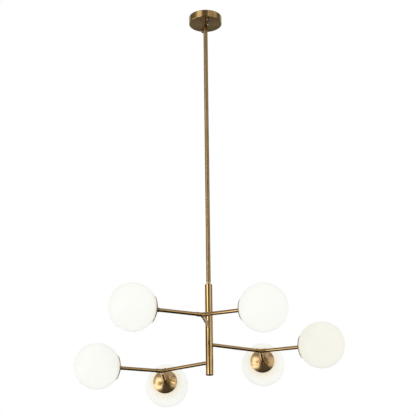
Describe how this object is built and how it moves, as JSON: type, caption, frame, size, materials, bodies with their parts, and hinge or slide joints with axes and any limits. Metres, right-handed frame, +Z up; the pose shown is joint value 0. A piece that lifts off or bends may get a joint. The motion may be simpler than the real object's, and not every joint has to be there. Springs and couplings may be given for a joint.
{
  "type": "branch chandelier",
  "caption": "Ceiling light with opal globes in spun cups on forked arms that branch from a central tube, hung on screwed rods from a round canopy with a hidden swivel.",
  "frame": {"origin": "centre of the ceiling bar's top face, in the ceiling plane on the rods' axis", "axes": "+Z up along the rods, +X along the ceiling bar's two slots, the light seen in the picture from -Y"},
  "size_m": [0.8766, 0.8081, 1.3592],
  "materials": {
    "aged_brass": "brushed, antiqued",
    "spun_aged_brass": "spun, antiqued",
    "raw_brass": "turned",
    "zinc_plated_steel": "zinc plated",
    "aluminium": "turned",
    "cream_phenolic": "moulded",
    "opal_glass": "opal, glossy",
    "frosted_lamp_glass": "frosted"
  },
  "bodies": {
    "ceiling_mount": {"box_bar": "zinc_plated_steel", "canopy_bar": "zinc_plated_steel", "ceiling_nipple": "zinc_plated_steel", "lock_nut": "raw_brass", "canopy_screws": "zinc_plated_steel", "canopy": "spun_aged_brass", "ball_nuts": "aged_brass"},
    "yoke": {"swivel_yoke": "raw_brass", "swivel_screws": "zinc_plated_steel"},
    "pendant": {"swivel_knuckle": "raw_brass", "stub_rod": "aged_brass", "upper_rod": "aged_brass", "lower_rod": "aged_brass", "rod_nipples": "zinc_plated_steel", "tube_top_cap": "aged_brass", "central_tube": "aged_brass", "tube_low_cap": "aged_brass", "stem_1": "aged_brass", "stem_2": "aged_brass", "stem_3": "aged_brass", "fork_1": "aged_brass", "fork_2": "aged_brass", "fork_3": "aged_brass", "arm_1": "aged_brass", "arm_2": "aged_brass", "arm_3": "aged_brass", "arm_4": "aged_brass", "arm_5": "aged_brass", "arm_6": "aged_brass", "arm_collars": "aged_brass", "cup_1": "spun_aged_brass", "cup_2": "spun_aged_brass", "cup_3": "spun_aged_brass", "cup_4": "spun_aged_brass", "cup_5": "spun_aged_brass", "cup_6": "spun_aged_brass", "lampholder_1": "cream_phenolic", "lampholder_2": "cream_phenolic", "lampholder_3": "cream_phenolic", "lampholder_4": "cream_phenolic", "lampholder_5": "cream_phenolic", "lampholder_6": "cream_phenolic", "lamp_1": "frosted_lamp_glass", "lamp_2": "frosted_lamp_glass", "lamp_3": "frosted_lamp_glass", "lamp_4": "frosted_lamp_glass", "lamp_5": "frosted_lamp_glass", "lamp_6": "frosted_lamp_glass"},
    "screwed_globe_1": {"globe_ring_1": "aluminium", "globe_1": "opal_glass"},
    "screwed_globe_2": {"globe_ring_2": "aluminium", "globe_2": "opal_glass"},
    "screwed_globe_3": {"globe_ring_3": "aluminium", "globe_3": "opal_glass"},
    "screwed_globe_4": {"globe_ring_4": "aluminium", "globe_4": "opal_glass"},
    "screwed_globe_5": {"globe_ring_5": "aluminium", "globe_5": "opal_glass"},
    "screwed_globe_6": {"globe_ring_6": "aluminium", "globe_6": "opal_glass"}
  },
  "joints": [
    {"name": "yoke_turn", "type": "hinge", "parent": "ceiling_mount", "child": "yoke", "pos_m": [0, 0, -0.0195], "axis": [0, 0, 1], "range_deg": [-175, 175]},
    {"name": "rod_tilt", "type": "hinge", "parent": "yoke", "child": "pendant", "pos_m": [0, 0, -0.0195], "axis": [0.9135, 0.4067, 0], "range_deg": [-15, 15]},
    {"name": "globe_1_turn", "type": "hinge", "parent": "pendant", "child": "screwed_globe_1", "pos_m": [-0.23243, -0.28157, -1.15003], "axis": [-0.9166, -0.3995, 0.016], "range_deg": [0, 360]},
    {"name": "globe_2_turn", "type": "hinge", "parent": "pendant", "child": "screwed_globe_2", "pos_m": [0.16307, -0.32608, -1.1674], "axis": [0.803, -0.593, -0.0596], "range_deg": [0, 360]},
    {"name": "globe_3_turn", "type": "hinge", "parent": "pendant", "child": "screwed_globe_3", "pos_m": [0.36166, -0.04748, -1.22288], "axis": [0.8239, -0.5651, -0.043], "range_deg": [0, 360]},
    {"name": "globe_4_turn", "type": "hinge", "parent": "pendant", "child": "screwed_globe_4", "pos_m": [0.18986, 0.31181, -1.21315], "axis": [0.0769, 0.997, -0.0007], "range_deg": [0, 360]},
    {"name": "globe_5_turn", "type": "hinge", "parent": "pendant", "child": "screwed_globe_5", "pos_m": [-0.15142, 0.33196, -1.27975], "axis": [0.0425, 0.9986, -0.0324], "range_deg": [0, 360]},
    {"name": "globe_6_turn", "type": "hinge", "parent": "pendant", "child": "screwed_globe_6", "pos_m": [-0.36499, -0.00429, -1.27488], "axis": [-0.8861, -0.4634, -0.0112], "range_deg": [0, 360]}
  ]
}
